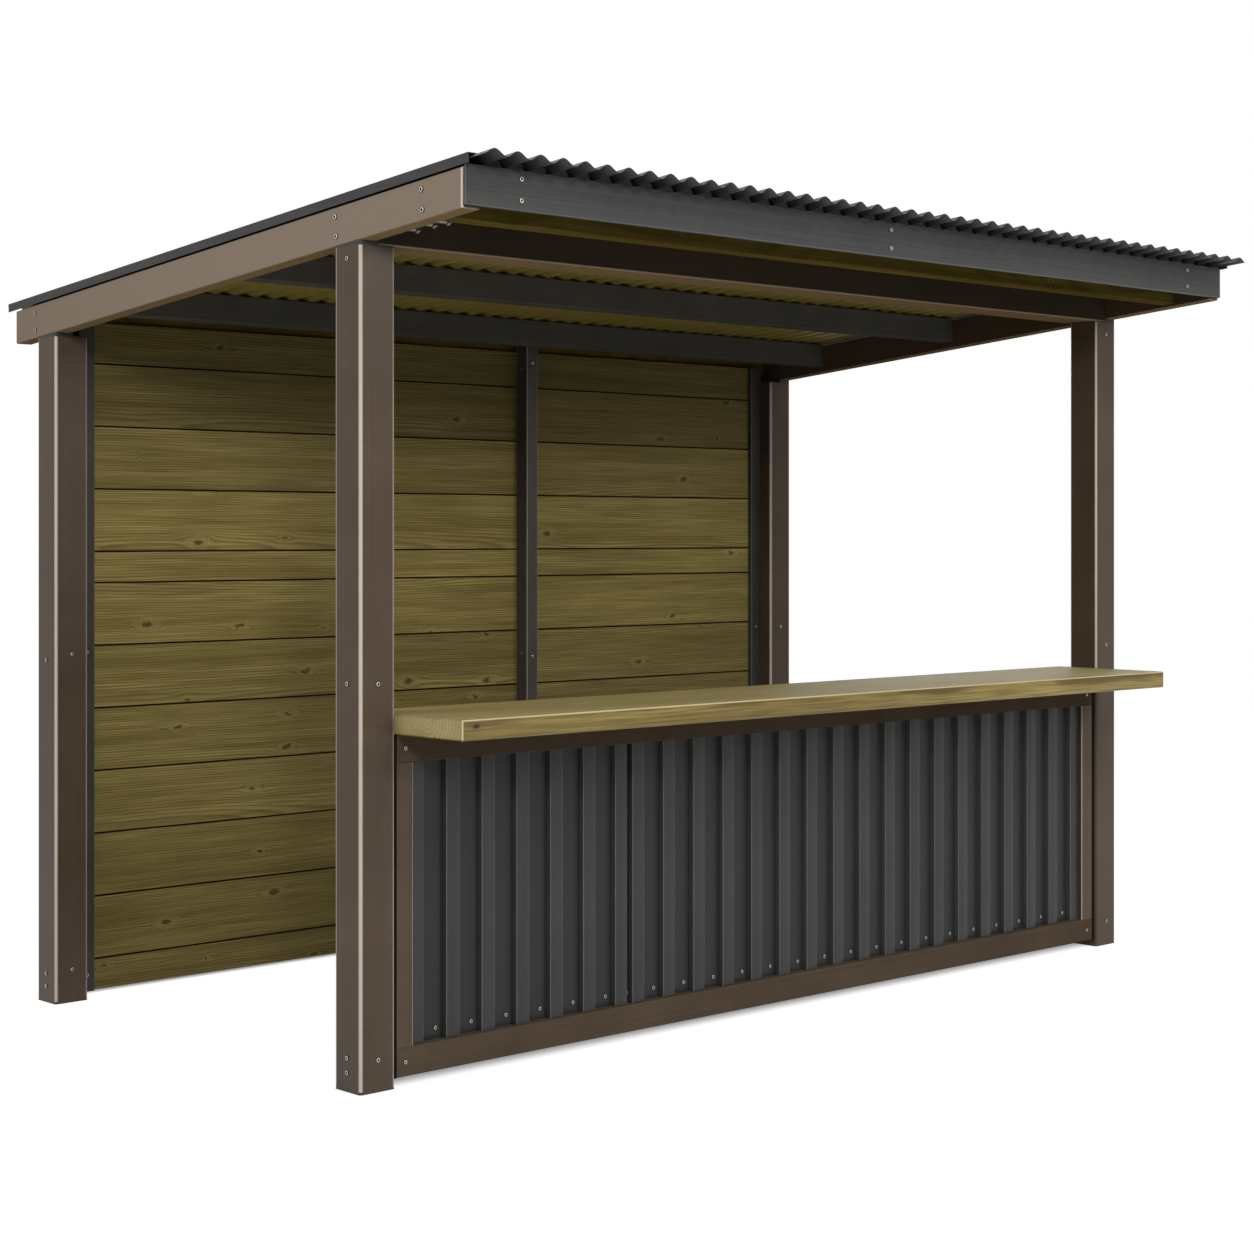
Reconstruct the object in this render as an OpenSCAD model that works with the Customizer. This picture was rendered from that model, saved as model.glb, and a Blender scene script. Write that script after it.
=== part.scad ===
// Garden bar: an open metal frame with a lean-to roof of corrugated sheet, a boarded back wall
// and a bar front clad in box-profile sheet under a thick timber counter.
// Sizes are in millimetres. X runs along the bar, Y from front to back, Z up.
// The pieces are laid out from the front left post's outer corner on the ground, and then
// moved so that the origin is under the middle of the whole bar.

/* [Posts] */
// Width across the outsides of the posts
frame_w = 3540; // [2800:10:4600]
// Depth across the outsides of the posts
frame_d = 1810; // [1600:10:2600]
// Side of a square post
post_w = 120; // [90:1:140]
// Outside corner radius of a post
post_r = 8; // [4:1:14]
// Metal thickness of the hollow sections
tube_t = 3; // [2:0.5:4]
// Height of the rafter undersides at the front faces of the front posts
head_h = 2370; // [2200:5:2700]
// Thickness of the foot that closes a post
foot_t = 8; // [5:1:20]

/* [Post seats] */
// Thickness of the seat at its thin end
seat_t = 4; // [3:1:8]
// Length of the upstand that is bolted to the rafter
upstand_l = 80; // [40:1:85]
// Height of the upstand above the post
upstand_h = 75; // [40:1:90]

/* [Roof frame] */
// Fall of the roof towards the back, in degrees
roof_pitch = 5; // [3:0.5:8]
// Width of a rafter
rafter_w = 58; // [40:1:80]
// Depth of a rafter, square to the roof
rafter_d = 110; // [100:1:140]
// Outside corner radius of the rafters and the front beam
rafter_r = 5; // [4:1:8]
// Thickness of the plate that closes a rafter's back end
cap_t = 3; // [2:0.5:6]
// How far the rafters reach out in front of the posts
front_reach = 450; // [350:10:600]
// How far the rafters reach out behind the posts
back_reach = 145; // [80:5:300]
// Width of the front beam
beam_w = 150; // [100:1:160]
// Height of the front beam
beam_d = 100; // [80:1:100]
// Width of a purlin
purlin_w = 50; // [38:1:60]
// Depth of the timber purlins
timber_d = 108; // [80:1:118]
// Depth of the steel purlins
steel_d = 93; // [70:1:105]
// How far the purlins stand above the rafters
purlin_rise = 8; // [2:1:15]
// Front face of the front purlin, ahead of the posts
front_purlin_y = 300; // [200:5:340]
// Front face of the middle purlin, behind the front of the posts
middle_purlin_y = 736; // [500:5:900]
// Front face of the rear purlin, behind the front of the posts
rear_purlin_y = 1439; // [1100:5:1480]

/* [Roof sheets] */
// Number of sheets side by side
sheet_count = 4; // [2:1:6]
// Pitch of the waves, which is adjusted to a whole number on each sheet
wave_pitch = 74; // [60:1:100]
// Height from a valley to a crest
wave_depth = 18; // [15:1:35]
// Thickness of the sheet metal
sheet_t = 0.7; // [0.5:0.1:1.2]
// How far the sheets reach past the rafters at the sides
side_drip = 6; // [0:1:40]
// How far the sheets reach past the fascia
front_drip = 100; // [40:5:150]
// How far the sheets reach past the back ends of the rafters
back_drip = 40; // [20:5:100]

/* [Roof trims] */
// Depth of the folded fascia from front to back
fascia_d = 10; // [6:1:25]
// Height of the fascia
fascia_h = 109; // [80:1:118]
// Metal thickness of the fascia and the verge trims
trim_t = 2; // [1:0.5:3]
// Width of a verge trim on top of the sheets
verge_w = 120; // [90:1:150]
// How far the verge trims reach past the fascia
verge_reach = 25; // [0:1:60]

/* [Counter] */
// Height of the counter's top
counter_h = 1050; // [900:5:1150]
// Thickness of the counter
counter_t = 58; // [40:1:80]
// How far the counter reaches out in front of the posts
counter_front = 300; // [200:5:400]
// How far the counter reaches in behind the front of the posts
counter_back = 170; // [120:5:300]
// Edge radius of the counter
counter_r = 5; // [2:1:12]

/* [Bar front] */
// Setback of the bar front from the front of the posts
panel_set = 12; // [5:1:30]
// Thickness of the bar front's frame
panel_d = 40; // [38:1:60]
// Height of the two rails
rail_h = 82; // [60:1:100]
// Width of the two stiles
stile_w = 74; // [50:1:90]
// Gap under the bottom rail
rail_lift = 25; // [10:1:60]
// Outside corner radius of the frame sections
panel_r = 4; // [3.5:0.5:6]
// Ribs on the left sheet
left_ribs = 7; // [4:1:10]
// Ribs on the right sheet
right_ribs = 18; // [12:1:20]
// Width of a rib's flat top
rib_top = 48; // [30:1:55]
// Width of a rib's sloping side
rib_run = 7; // [4:1:12]
// Height of a rib
rib_h = 20; // [12:1:20]
// Setback of the ribs from the front of the frame
rib_set = 16; // [10:1:16]
// Width between the two rib tops where the sheets lap
lap_w = 24; // [20:1:40]
// Width of the flange that runs on behind the next sheet
lap_flange = 12; // [6:1:20]
// Thickness of the cladding metal
clad_t = 0.7; // [0.5:0.1:1.2]

/* [Back wall] */
// Setback of the boards from the front of the back posts
wall_set = 77; // [66:1:80]
// Thickness of the boards
board_t = 20; // [15:1:25]
// Height of a full board
board_h = 212; // [150:1:240]
// Depth of the vee between two boards
vee_d = 4; // [2:1:6]
// Gap under the wall
wall_lift = 14; // [5:1:60]
// Gap between the top of the boards and the roof
wall_gap = 54; // [40:1:90]
// Width of the side studs
stud_w = 60; // [40:1:80]
// Thickness of the side studs
stud_d = 18; // [12:1:30]
// Centre of the middle stud, from the left end of the frame
mid_stud_x = 2080; // [1000:10:2400]
// Width of the middle stud
mid_stud_w = 55; // [40:1:80]
// Thickness of the middle stud
mid_stud_d = 66; // [40:1:66]
// Gap between the top of the middle stud and the roof
mid_stud_gap = 20; // [5:1:40]
// Metal thickness of the studs
stud_t = 2; // [1.5:0.5:3]
// Outside corner radius of the studs
stud_r = 3; // [2.5:0.5:5]

/* [Hidden] */
$fn = 48;
// Gap left where two pieces meet without pressing on each other
fit = 0.3;
// Points along one wave of the roof sheet
wave_steps = 16;
// Rows of boards from the bottom up, where a half is a ripped board
board_rows = [0.5, 1, 1, 1, 1, 1, 1, 0.5, 1, 1, 1];
// A size larger than the whole bar, for cutting
far = 2 * (frame_w + frame_d + head_h);

bronze = "#584E48";
anthracite = "#3F4042";
dark_steel = "#2B2B2C";
timber = "#6B5D2C";
counter_timber = "#85783E";

// Heights under and on top of the rafters at a distance behind the front of the posts
function under_roof(y) = head_h - y * tan(roof_pitch);
function on_rafters(y) = under_roof(y) + rafter_d / cos(roof_pitch);
// Distance down the slope of a point at y and at height n square to the rafter undersides
function down_slope(y, n) = (y - n * sin(roof_pitch)) / cos(roof_pitch);

back_post_y = frame_d - post_w;
back_end_y = frame_d + back_reach;
beam_z = under_roof(post_w);
rafter_span = frame_w - 2 * rafter_w;
// Length of bar that a rafter is cut from, with some to spare at both ends
stock_front = down_slope(-front_reach, rafter_d) - rafter_d;
stock_l = down_slope(back_end_y, 0) + rafter_d - stock_front;

sheets_w = frame_w + 2 * side_drip;
sheet_cover = sheets_w / sheet_count;
sheet_waves = round(sheet_cover / wave_pitch);
wave_w = sheet_cover / sheet_waves;
wave_angle = 360 / wave_w;
steepest = atan(wave_depth / 2 * wave_angle * PI / 180);
lap_lift = (sheet_t + fit) / cos(steepest) * sheet_waves / (sheet_waves - 1);
sheet_n = rafter_d + purlin_rise + fit / 2;
fascia_y = -front_reach - fascia_d;
sheet_front = down_slope(fascia_y - front_drip, sheet_n);
sheet_back = down_slope(back_end_y + back_drip, sheet_n);
verge_n = sheet_n + wave_depth + sheet_t + fit + trim_t;
verge_front = down_slope(fascia_y - verge_reach, sheet_n);
verge_x = -side_drip - fit - trim_t;

opening_w = frame_w - 2 * post_w;
counter_under = counter_h - counter_t;
top_rail_z = counter_under - rail_h;
clad_z = rail_lift + rail_h;
clad_h = top_rail_z - clad_z - fit;
clad_x = post_w + stile_w + fit;
clad_w = opening_w - 2 * stile_w - 2 * fit;
rib_pitch = (clad_w - 2 * rib_top - lap_w) / (left_ribs + right_ribs - 2);
right_clad_x = (left_ribs - 1) * rib_pitch + rib_top + lap_w;
clad_fold = clad_t * tan(atan(rib_h / rib_run) / 2);

wall_y = back_post_y + wall_set;
wall_top = on_rafters(wall_y) - wall_gap;
mid_stud_top = on_rafters(wall_y) - mid_stud_gap;
// Heights of the joints between the boards
function rows_up(i) = i < 0 ? 0 : board_rows[i] + rows_up(i - 1);
board_joints = [for (i = [0:len(board_rows) - 1]) wall_lift + board_h * rows_up(i)];

// Middle of the whole bar from front to back
back_edge_y = back_end_y + back_drip + (verge_n - sheet_n) * sin(roof_pitch);
middle_y = (fascia_y - front_drip + back_edge_y) / 2;

// Puts the origin under the middle of the bar
module placed() {
    translate([-frame_w / 2, -middle_y, 0]) children();
}

// Turns a left-hand piece into its right-hand twin
module right_hand() {
    translate([frame_w, 0, 0]) mirror([1, 0, 0]) children();
}

// Lays a piece in the sloping plane of the rafter undersides
module on_slope() {
    translate([0, 0, head_h]) rotate([-roof_pitch, 0, 0]) children();
}

// Turns an upright section to run along X, with its width on Y
module along_x() {
    rotate([90, 0, 90]) children();
}

// Turns an upright section to run along Y over a length, with its width on X
module along_y(length) {
    translate([0, length, 0]) rotate([90, 0, 0]) children();
}

module rounded_rect(w, d, r) {
    translate([r, 0]) square([w - 2 * r, d]);
    translate([0, r]) square([w, d - 2 * r]);
    for (x = [r, w - r], y = [r, d - r]) {
        translate([x, y]) circle(r);
    }
}

// Hollow section with rounded corners, standing upright
module box_section(w, d, r, wall, length) {
    linear_extrude(length) difference() {
        rounded_rect(w, d, r);
        translate([wall, wall]) rounded_rect(w - 2 * wall, d - 2 * wall, r - wall);
    }
}

// Solid bar with rounded corners, standing upright
module solid_section(w, d, r, length) {
    linear_extrude(length) rounded_rect(w, d, r);
}

function post_top(y) = under_roof(y + post_w) - seat_t;

module post(y) {
    color(bronze) translate([0, y, foot_t])
        box_section(post_w, post_w, post_r, tube_t, post_top(y) - foot_t);
}

module foot(y) {
    color(bronze) translate([0, y, 0]) solid_section(post_w, post_w, post_r, foot_t);
}

// Tapered block under the rafter, with a plate over the rest of the post and an upstand
module seat(y) {
    top = post_top(y);
    color(dark_steel) intersection() {
        union() {
            along_x() linear_extrude(rafter_w) polygon([
                [y, top],
                [y + post_w, top],
                [y + post_w, under_roof(y + post_w)],
                [y, under_roof(y)]
            ]);
            translate([rafter_w, y, top]) cube([post_w - rafter_w, post_w, seat_t]);
            translate([rafter_w, y, top]) cube([seat_t, upstand_l, upstand_h]);
        }
        translate([0, y, top]) solid_section(post_w, post_w, post_r, far);
    }
}

// The part of the sloping pieces that lies between two upright planes
module plumb_cut(from_y, to_y) {
    intersection() {
        children();
        translate([-far / 2, from_y, 0]) cube([far, to_y - from_y, far]);
    }
}

module rafter() {
    color(bronze) plumb_cut(-front_reach, back_end_y - cap_t)
        on_slope() translate([0, stock_front, 0]) along_y(stock_l)
            box_section(rafter_w, rafter_d, rafter_r, tube_t, stock_l);
}

module rafter_cap() {
    color(bronze) plumb_cut(back_end_y - cap_t, back_end_y)
        on_slope() translate([0, stock_front, 0]) along_y(stock_l)
            solid_section(rafter_w, rafter_d, rafter_r, stock_l);
}

// Level beam on the seats of the front posts, between the seats' upstands
module front_beam() {
    color(bronze) translate([rafter_w + seat_t, 0, beam_z]) along_x()
        box_section(beam_w, beam_d, rafter_r, tube_t, rafter_span - 2 * seat_t);
}

// Places a purlin of a given depth between the rafters, standing a little above them for the sheets
module purlin_at(y, depth) {
    low = rafter_d + purlin_rise - depth;
    on_slope() translate([rafter_w, down_slope(y, low), low]) along_x() children();
}

module timber_purlin(y) {
    color(timber) purlin_at(y, timber_d)
        solid_section(purlin_w, timber_d, tube_t, rafter_span);
}

module steel_purlin(y) {
    color(dark_steel) purlin_at(y, steel_d)
        box_section(purlin_w, steel_d, rafter_r, tube_t, rafter_span);
}

module front_purlin() {
    timber_purlin(-front_purlin_y);
}

module middle_purlin() {
    steel_purlin(middle_purlin_y);
}

module rear_purlin() {
    steel_purlin(rear_purlin_y);
}

// The back purlin closes the wall above its boards
module back_purlin() {
    timber_purlin(wall_y + board_t + fit);
}

// A point of the wave at x, moved out square to the sheet by a thickness
function wave_point(x, lift, out) = let (
    slope = atan(wave_depth / 2 * wave_angle * PI / 180 * sin(wave_angle * x)),
    height = wave_depth / 2 * (1 - cos(wave_angle * x))
) [x - out * sin(slope), lift + height + out * cos(slope)];

// Sheet number i, where each sheet after the first lies on its left neighbour's last wave
module roof_sheet(i) {
    start = i * sheet_cover;
    waves = i < sheet_count - 1 ? sheet_waves + 1 : sheet_waves;
    steps = waves * wave_steps;
    lift = i > 0 ? lap_lift : 0;
    xs = [for (k = [0:steps]) start + k * wave_w / wave_steps];
    lifts = [for (x = xs) lift * max(0, 1 - (x - start) / sheet_cover)];
    outline = concat(
        [for (k = [0:steps]) wave_point(xs[k], lifts[k], 0)],
        [for (k = [steps:-1:0]) wave_point(xs[k], lifts[k], sheet_t)]
    );
    color(anthracite) on_slope()
        translate([-side_drip, sheet_front, sheet_n]) along_y(sheet_back - sheet_front)
            linear_extrude(sheet_back - sheet_front) polygon(outline);
}

// Shallow folded tray, open at the back against the ends of the rafters
module front_fascia() {
    top = on_rafters(-front_reach) + purlin_rise - fit;
    color(anthracite) translate([0, fascia_y, top - fascia_h]) difference() {
        cube([frame_w, fascia_d, fascia_h]);
        translate([trim_t, trim_t, trim_t])
            cube([frame_w - 2 * trim_t, fascia_d, fascia_h - 2 * trim_t]);
    }
}

// Angle along a raking edge of the roof, over the outermost crests of the sheet
module verge_trim() {
    bottom = rafter_d + trim_t;
    length = sheet_back - verge_front;
    color(anthracite) on_slope() translate([0, verge_front, 0]) along_y(length)
        linear_extrude(length) polygon([
            [verge_x, bottom],
            [verge_x + trim_t, bottom],
            [verge_x + trim_t, verge_n - trim_t],
            [verge_x + verge_w, verge_n - trim_t],
            [verge_x + verge_w, verge_n],
            [verge_x, verge_n]
        ]);
}

module counter_top() {
    color(counter_timber) translate([post_w + fit, -counter_front, counter_under]) along_x()
        solid_section(counter_front + counter_back, counter_t, counter_r, opening_w - 2 * fit);
}

module rail(z) {
    color(bronze) translate([post_w, panel_set, z]) along_x()
        box_section(panel_d, rail_h, panel_r, tube_t, opening_w);
}

module top_rail() {
    rail(top_rail_z);
}

module bottom_rail() {
    rail(rail_lift);
}

module stile() {
    color(bronze) translate([post_w, panel_set, clad_z])
        box_section(stile_w, panel_d, panel_r, tube_t, top_rail_z - clad_z);
}

// One face of the ribs, moved back by the thickness: a rib top, a side, a valley, a side
function rib_face(count, start, back) = let (fold = back > 0 ? clad_fold : 0) [
    for (k = [0:count - 1])
        let (x = start + k * rib_pitch, last = k == count - 1)
            each concat(
                [[x + (k > 0 ? fold : 0), back], [x + rib_top - (last ? 0 : fold), back]],
                last ? [] : [
                    [x + rib_top + rib_run - fold, rib_h + back],
                    [x + rib_pitch - rib_run + fold, rib_h + back]
                ]
            )
];

function reversed(list) = [for (i = [len(list) - 1:-1:0]) list[i]];

module cladding(outline) {
    color(anthracite) translate([clad_x, panel_set + rib_set, clad_z])
        linear_extrude(clad_h) polygon(outline);
}

// The left sheet's last rib runs down into a flange behind the right sheet
module left_cladding() {
    foot_x = (left_ribs - 1) * rib_pitch + rib_top + rib_run;
    flange_x = right_clad_x + lap_flange;
    front = rib_face(left_ribs, 0, 0);
    back = rib_face(left_ribs, 0, clad_t);
    shorter_back = [for (i = [0:len(back) - 2]) back[i]];
    cladding(concat(
        front,
        [[foot_x, rib_h], [flange_x, rib_h], [flange_x, rib_h + clad_t]],
        [[foot_x - clad_fold, rib_h + clad_t], [foot_x - rib_run - clad_fold, clad_t]],
        reversed(shorter_back)
    ));
}

// The right sheet's first rib stands on that flange
module right_cladding() {
    reach = rib_run * (rib_h - fit) / rib_h;
    front = rib_face(right_ribs, right_clad_x, 0);
    back = rib_face(right_ribs, right_clad_x, clad_t);
    shorter_back = [for (i = [1:len(back) - 1]) back[i]];
    fold_depth = clad_t / sin(atan(rib_h / rib_run));
    cladding(concat(
        [[right_clad_x - reach, rib_h - fit]],
        front,
        reversed(shorter_back),
        [[right_clad_x + clad_fold, clad_t], [right_clad_x - reach + fold_depth, rib_h - fit]]
    ));
}

// Boarding from one X to another, with a vee on its front face at each joint
module wall_boards(from_x, to_x) {
    joints = [for (z = board_joints) if (z < wall_top - vee_d) z];
    vees = [for (z = joints) each [[0, z - vee_d], [vee_d, z], [0, z + vee_d]]];
    outline = concat(
        [[board_t, wall_top], [board_t, wall_lift], [0, wall_lift]],
        vees,
        [[0, wall_top]]
    );
    color(timber) translate([from_x, wall_y, 0]) along_x()
        linear_extrude(to_x - from_x) polygon(outline);
}

module left_wall_boards() {
    wall_boards(post_w + fit, mid_stud_x - fit);
}

module right_wall_boards() {
    wall_boards(mid_stud_x + fit, frame_w - post_w - fit);
}

module side_stud() {
    color(dark_steel) translate([post_w, wall_y - stud_d, wall_lift])
        box_section(stud_w, stud_d, stud_r, stud_t, wall_top - wall_lift);
}

module middle_wall_stud() {
    color(dark_steel) translate([mid_stud_x - mid_stud_w / 2, wall_y - mid_stud_d, wall_lift])
        box_section(mid_stud_w, mid_stud_d, stud_r, stud_t, mid_stud_top - wall_lift);
}

placed() post(0);  // front_left_post
placed() right_hand() post(0);  // front_right_post
placed() post(back_post_y);  // back_left_post
placed() right_hand() post(back_post_y);  // back_right_post
placed() foot(0);  // front_left_foot
placed() right_hand() foot(0);  // front_right_foot
placed() foot(back_post_y);  // back_left_foot
placed() right_hand() foot(back_post_y);  // back_right_foot
placed() seat(0);  // front_left_seat
placed() right_hand() seat(0);  // front_right_seat
placed() seat(back_post_y);  // back_left_seat
placed() right_hand() seat(back_post_y);  // back_right_seat
placed() rafter();  // left_rafter
placed() right_hand() rafter();  // right_rafter
placed() rafter_cap();  // left_rafter_cap
placed() right_hand() rafter_cap();  // right_rafter_cap
placed() front_beam();
placed() front_purlin();
placed() middle_purlin();
placed() rear_purlin();
placed() back_purlin();
placed() roof_sheet(0);  // roof_sheet_1
placed() roof_sheet(1);  // roof_sheet_2
placed() roof_sheet(2);  // roof_sheet_3
placed() roof_sheet(3);  // roof_sheet_4
placed() front_fascia();
placed() verge_trim();  // left_verge_trim
placed() right_hand() verge_trim();  // right_verge_trim
placed() counter_top();
placed() top_rail();
placed() bottom_rail();
placed() stile();  // left_stile
placed() right_hand() stile();  // right_stile
placed() left_cladding();
placed() right_cladding();
placed() left_wall_boards();
placed() right_wall_boards();
placed() side_stud();  // left_wall_stud
placed() middle_wall_stud();
placed() right_hand() side_stud();  // right_wall_stud
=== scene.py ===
import math
from functools import partial

import bpy
import numpy as np
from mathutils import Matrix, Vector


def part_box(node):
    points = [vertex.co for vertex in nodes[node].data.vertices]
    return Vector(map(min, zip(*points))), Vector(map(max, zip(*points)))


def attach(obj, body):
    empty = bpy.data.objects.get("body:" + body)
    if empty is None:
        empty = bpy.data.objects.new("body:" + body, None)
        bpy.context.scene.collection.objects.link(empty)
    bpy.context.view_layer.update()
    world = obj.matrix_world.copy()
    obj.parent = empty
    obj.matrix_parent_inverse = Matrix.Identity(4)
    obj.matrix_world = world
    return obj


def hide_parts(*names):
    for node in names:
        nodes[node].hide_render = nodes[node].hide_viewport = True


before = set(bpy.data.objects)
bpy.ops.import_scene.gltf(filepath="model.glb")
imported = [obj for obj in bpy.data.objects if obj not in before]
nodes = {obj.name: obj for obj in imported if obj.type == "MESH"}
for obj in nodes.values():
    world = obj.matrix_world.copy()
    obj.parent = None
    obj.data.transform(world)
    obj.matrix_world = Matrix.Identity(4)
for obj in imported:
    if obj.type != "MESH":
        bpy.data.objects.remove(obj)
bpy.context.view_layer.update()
mm = 0.001
print("frame loaded with", len(nodes), "nodes")


def boxOf(node):
    low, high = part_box(node)
    return np.array(low), np.array(high)


def middleOf(node):
    return np.mean(boxOf(node), axis=0)


leftSide = boxOf("front_left_post")[0][0]  # outsides of the posts
rightSide = boxOf("front_right_post")[1][0]
postFront = boxOf("front_left_post")[0][1]
postWidth = np.ptp(boxOf("front_left_post"), axis=0)[0]
roof = {
    "pitch": math.radians(5),
    "headHeight": 2370 * mm,  # rafter undersides at the front of the posts
    "rafterDepth": 110 * mm,
    "rafterWidth": 58 * mm,
    "sheetRise": 8 * mm,  # of the purlins over the rafters
}
roofSlope = math.tan(roof["pitch"])


def pointsOf(x, y, z):
    return np.stack(np.broadcast_arrays(x, y, z), -1)


def unit(vectors):
    return vectors / np.linalg.norm(vectors, axis=-1, keepdims=True)


def onSlope(x, along, above):
    # Turns a place on the rafter undersides (across, down the slope, square to it) into the frame
    c, s = math.cos(roof["pitch"]), math.sin(roof["pitch"])
    y = postFront + along * c + above * s
    z = roof["headHeight"] - along * s + above * c
    return pointsOf(x, y, z)


def downSlope(y, above):
    # The distance down the slope of a point at y that lies this far above the rafter undersides
    return (y - postFront - above * math.sin(roof["pitch"])) / math.cos(roof["pitch"])


# Shader helpers

def linearColour(hexText):
    # The sRGB curve undone: straight near black, and a power of 2.4 above
    srgb = np.array([int(hexText[i:i + 2], 16) for i in (1, 3, 5)]) / 255
    linear = np.where(srgb <= 0.04045, srgb / 12.92, ((srgb + 0.055) / 1.055) ** 2.4)
    return (*linear.tolist(), 1.0)


modeNames = {
    "Math": "operation", "VectorMath": "operation", "Mix": "data_type", "MapRange": "interpolation_type",
}


def addNode(tree, kind, *values, out=None, **settings):
    # Kind may have the node's mode after a space. Values are numbers, vectors, hex colours or other outputs.
    # They go to the inputs in turn, or by name from a dictionary. Gives back the named or the first output.
    kind, *mode = kind.split()
    node = tree.nodes.new("ShaderNode" + kind)
    if mode:
        settings[modeNames[kind]] = mode[0]
    for name, value in settings.items():
        setattr(node, name, value)
    inputs = [socket for socket in node.inputs if not socket.is_unavailable]
    if values and isinstance(values[0], dict):
        inputs = [node.inputs[name] for name in values[0]]
        values = values[0].values()
    for socket, value in zip(inputs, values):
        if isinstance(value, bpy.types.NodeSocket):
            tree.links.new(value, socket)
        else:
            socket.default_value = linearColour(value) if isinstance(value, str) else value
    if out:
        return node.outputs[out]
    return next((socket for socket in node.outputs if not socket.is_unavailable), None)


def newMaterial(name):
    material = bpy.data.materials.new(name)
    material.use_nodes = True
    material.node_tree.nodes.clear()
    return material, partial(addNode, material.node_tree)


# Painted metals: a coloured film on steel, so the colour is even and the gloss is soft.
# The tubes keep faint lines from being drawn, and the film has a fine orange peel.
# Along the rounded edges a painted highlight makes the film pale.

def coatedSteel(name, finish, drawn, edges=None, paintedLight=None):
    material, add = newMaterial(name)
    place = add("TexCoord", out="Object")
    x, y, z = add("SeparateXYZ", place).node.outputs
    lineScale = [1 / finish["lineLength" if axis == drawn else "lineWidth"] for axis in "xyz"]
    lines = add("TexNoise", add("VectorMath MULTIPLY", place, lineScale), 1.0, 2.0)
    cloud = add("TexNoise", place, 1 / finish["cloudSize"], 3.0)
    tone = add("MapRange", add("Math ADD", lines, cloud), 0.7, 1.3)
    colour = add("Mix RGBA", tone, finish["dark"], finish["light"])
    if paintedLight:  # painted light: paler on the outer side and behind the front rim, with a painted highlight at the front corners
        aside = add("Math ABSOLUTE", x)
        outer = add("MapRange", aside, *paintedLight["outer"])
        behind = add("MapRange", y, *paintedLight["rim"])
        colour = add("Mix RGBA", add("Math MULTIPLY", outer, behind), colour, paintedLight["colour"])
        corner = add("MapRange", aside, *paintedLight["corner"])
        ahead = add("MapRange", y, *paintedLight["end"], 1.0, 0.0)
        colour = add("Mix RGBA", add("Math MULTIPLY", corner, ahead), colour, finish["highlightColour"])
    if "underLight" in finish:  # painted light from below makes the underside, which may lie on the roof's slope, paler
        underLight = finish["underLight"]
        height = add("Math MULTIPLY_ADD", y, underLight["slope"], z)
        under = add("MapRange", height, underLight["level"] + 1 * mm, underLight["level"] + 3 * mm, 1.0, 0.0)
        colour = add("Mix RGBA", under, colour, underLight["colour"])
    # Painted highlight along the rounded edges, weaker towards the right end of the box
    if edges:
        # How far a point lies from the two nearest faces of the box, added up: small only along an edge
        low, high, reach = edges["low"], edges["high"], edges["reach"]
        deep = []
        for i, at in enumerate((x, y, z)):
            fromLow = add("Math SUBTRACT", at, low[i])
            deep.append(add("Math MINIMUM", fromLow, add("Math SUBTRACT", high[i], at)))
        total = add("Math ADD", add("Math ADD", deep[0], deep[1]), deep[2])
        largest = add("Math MAXIMUM", add("Math MAXIMUM", deep[0], deep[1]), deep[2])
        nearTwo = add("Math SUBTRACT", total, largest)
        edgeLit = add("MapRange SMOOTHSTEP", nearTwo, reach * 0.55, reach * 1.15, edges["strength"], 0.0)
        edgeLit = add("Math MULTIPLY", edgeLit, add("MapRange", x, low[0], high[0], 1.0, edges.get("right", 1.0)))
        if "above" in edges:  # no painted highlight on the edge below the counter, which shades it
            bare = add("MapRange", z, edges["above"] - 5 * mm, edges["above"] + 5 * mm)
            edgeLit = add("Math MULTIPLY", edgeLit, bare)
        colour = add("Mix RGBA", edgeLit, colour, finish["highlightColour"])
    gloss = add("MapRange", cloud, 0.3, 0.7, finish["rough"] - 0.04, finish["rough"] + 0.04)
    peel = add("TexNoise", place, 1 / finish["peelSize"], 1.0)
    bump = add("Bump", {"Height": peel, "Strength": finish["peel"], "Distance": 0.4 * mm})
    shader = add("BsdfPrincipled", {
        "Base Color": colour, "Roughness": gloss, "Normal": bump,
        "Specular IOR Level": finish["specular"], "IOR": 1.5})
    add("OutputMaterial", shader)
    return material


def tintBy(material, attributeName, hexColour, strength):
    # Mixes a colour over the material by a value that the piece keeps
    tree = material.node_tree
    shader = next(n for n in tree.nodes if n.type == "BSDF_PRINCIPLED")
    base = shader.inputs["Base Color"]
    value = addNode(tree, "Attribute", out="Fac", attribute_name=attributeName)
    share = addNode(tree, "Math MULTIPLY", value, strength, use_clamp=True)
    over = addNode(tree, "Mix RGBA", share, base.links[0].from_socket, hexColour)
    tree.links.new(over, base)
    return material


bronzePaint = {
    # The pale edge colour is a painted highlight on the rounded edges and corners
    "coat": "bronzePowderCoat", "dark": "#473B30", "light": "#534538", "highlightColour": "#CDBFB0",
    "lineWidth": 2.5 * mm, "lineLength": 900 * mm, "cloudSize": 260 * mm,
    "peelSize": 3 * mm, "peel": 0.04,  # coarser than real orange peel, so that it shows
    "rough": 0.26, "specular": 0.12,
}
mattBronze = dict(bronzePaint, rough=0.55, specular=0.0)  # the beam, rails and rafters have little gloss
# The beam's paint is a darker copy of the bronze, as painted shade under the roof, with painted light on its
# underside
shadedBeamPaint = dict(mattBronze, dark="#372E26", light="#42372D", underLight={
    "colour": "#857050", "level": boxOf("front_beam")[0][2], "slope": 0.0})
# Painted light on the rafters' undersides
rafterPaint = dict(mattBronze, underLight={
    "colour": "#857050", "level": roof["headHeight"] + postFront * roofSlope, "slope": roofSlope})
railPaint = dict(mattBronze, dark="#4B4036", light="#57493D")
rafterInside = rightSide - roof["rafterWidth"]
rafterFront = boxOf("left_rafter")[0][1]
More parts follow.
